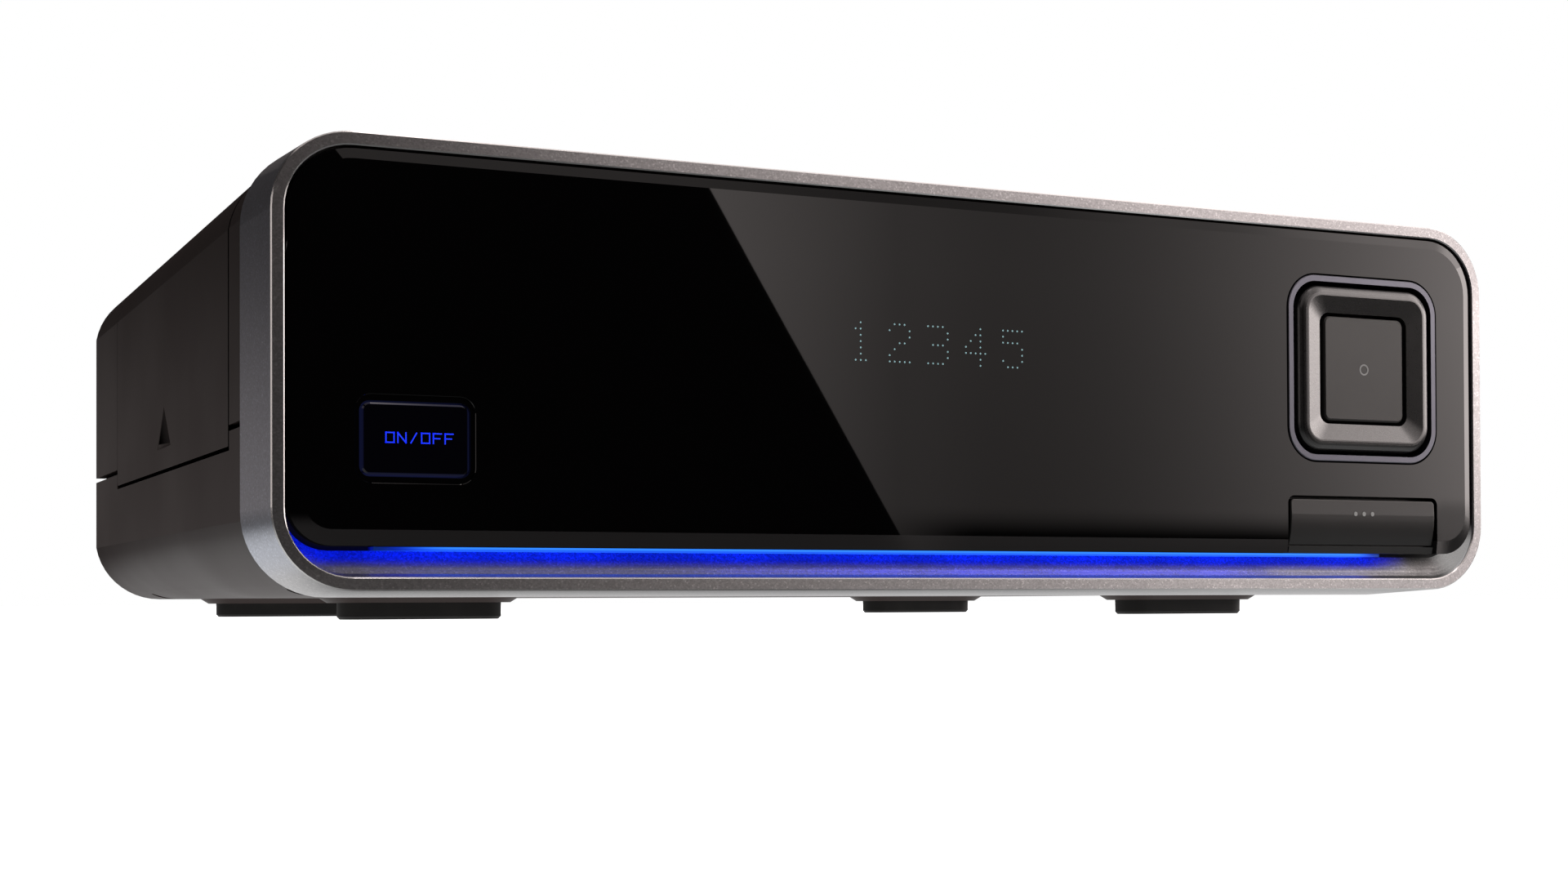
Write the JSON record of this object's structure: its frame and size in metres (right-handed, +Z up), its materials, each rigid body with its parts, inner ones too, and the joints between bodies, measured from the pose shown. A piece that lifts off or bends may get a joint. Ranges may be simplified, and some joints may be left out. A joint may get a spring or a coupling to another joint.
{
  "type": "media player with hard drive tray",
  "caption": "Low box media player with a glossy front in a metal frame, push buttons, a navigation pad, a light slot and a hard drive tray that slides out of its side.",
  "frame": {"origin": "centre of the bounding box's underside, on the surface that the feet stand on", "axes": "+X to the right seen from the front, +Y to the back, +Z up"},
  "size_m": [0.283, 0.2324, 0.0902],
  "materials": {
    "frame_metal": "fine metallic flake, satin",
    "panel_gloss": "mirror gloss",
    "button_gloss": "gloss",
    "bezel_silver": "gloss lacquer",
    "shell_plastic": "fine matte grain",
    "inner_plastic": "moulded",
    "guide_acrylic": "clear",
    "board_laminate": "solder mask",
    "led_board": "white solder mask",
    "drive_laminate": "solder mask",
    "display_glass": "clear",
    "chip_black": "moulded epoxy",
    "sink_aluminium": "black anodised",
    "can_sleeve": "satin",
    "flat_cable": "satin film",
    "zinc_steel": "zinc plated",
    "screw_steel": "nickel plated",
    "socket_metal": "bright tin",
    "socket_plastic": "moulded",
    "drive_casting": "cast",
    "drive_cover": "satin",
    "foot_rubber": "matte"
  },
  "bodies": {
    "case": {"front_frame": "frame_metal", "front_panel": "panel_gloss", "panel_carrier": "inner_plastic", "nav_bezel": "bezel_silver", "light_guide": "guide_acrylic", "led_strip": "led_board", "led_screws": "screw_steel", "display_module": "display_glass", "front_board": "board_laminate", "front_board_screws": "screw_steel", "tact_switches": "chip_black", "infrared_receiver": "chip_black", "ribbon_sockets": "inner_plastic", "ribbon_cable": "flat_cable", "top_cover": "shell_plastic", "base_shell": "shell_plastic", "case_screws": "screw_steel", "rubber_feet": "foot_rubber", "rear_panel": "zinc_steel", "rear_screws": "screw_steel", "fan_frame": "inner_plastic", "fan_screws": "screw_steel", "main_board": "board_laminate", "board_standoffs": "zinc_steel", "board_screws": "screw_steel", "processor": "chip_black", "heatsink": "sink_aluminium", "memory_chips": "chip_black", "capacitors": "can_sleeve", "coin_cell": "can_sleeve", "coin_cell_holder": "inner_plastic", "power_socket": "socket_plastic", "video_socket": "socket_metal", "network_socket": "socket_metal", "bus_sockets": "socket_metal", "optical_socket": "socket_plastic", "phono_jacks": "socket_plastic", "drive_cage": "zinc_steel", "cage_posts": "zinc_steel", "cage_screws": "screw_steel", "tray_rails": "inner_plastic", "rail_screws": "screw_steel", "drive_plug": "socket_plastic", "upright_board": "board_laminate", "upright_slot": "inner_plastic"},
    "tray": {"drive_tray": "zinc_steel", "drive_screws": "screw_steel", "tray_door": "shell_plastic", "door_screws": "screw_steel", "drive_body": "drive_casting", "drive_lid_plate": "drive_cover", "drive_lid_screws": "screw_steel", "drive_board": "drive_laminate", "drive_socket": "socket_plastic"},
    "power_button": {"power_button": "button_gloss"},
    "ok_button": {"ok_button": "button_gloss"},
    "option_button": {"option_button": "panel_gloss"},
    "nav_gimbal": {"nav_gimbal": "inner_plastic"},
    "nav_ring": {"nav_ring": "button_gloss"},
    "fan": {"fan_rotor": "inner_plastic"}
  },
  "joints": [
    {"name": "tray_slide", "type": "slide", "parent": "case", "child": "tray", "axis": [-1, 0, 0], "range_m": [0, 0.135]},
    {"name": "power_press", "type": "slide", "parent": "case", "child": "power_button", "axis": [0, 1, 0], "range_m": [0, 0.0007], "stiffness_N_per_m": 2286},
    {"name": "ok_press", "type": "slide", "parent": "case", "child": "ok_button", "axis": [0, 1, 0], "range_m": [0, 0.0007], "stiffness_N_per_m": 2286},
    {"name": "option_press", "type": "slide", "parent": "case", "child": "option_button", "axis": [0, 1, 0], "range_m": [0, 0.0007], "stiffness_N_per_m": 2286},
    {"name": "nav_tilt_up", "type": "hinge", "parent": "case", "child": "nav_gimbal", "pos_m": [0.1058, -0.1078, 0.0554], "axis": [1, 0, 0], "range_deg": [-2, 2], "stiffness_Nm_per_rad": 0.8},
    {"name": "nav_tilt_side", "type": "hinge", "parent": "nav_gimbal", "child": "nav_ring", "pos_m": [0.1058, -0.1078, 0.0554], "axis": [0, 0, 1], "range_deg": [-2, 2], "stiffness_Nm_per_rad": 0.8},
    {"name": "fan_spin", "type": "hinge", "parent": "case", "child": "fan", "pos_m": [0.095, 0.1018, 0.062], "axis": [0, 1, 0], "continuous": true}
  ]
}
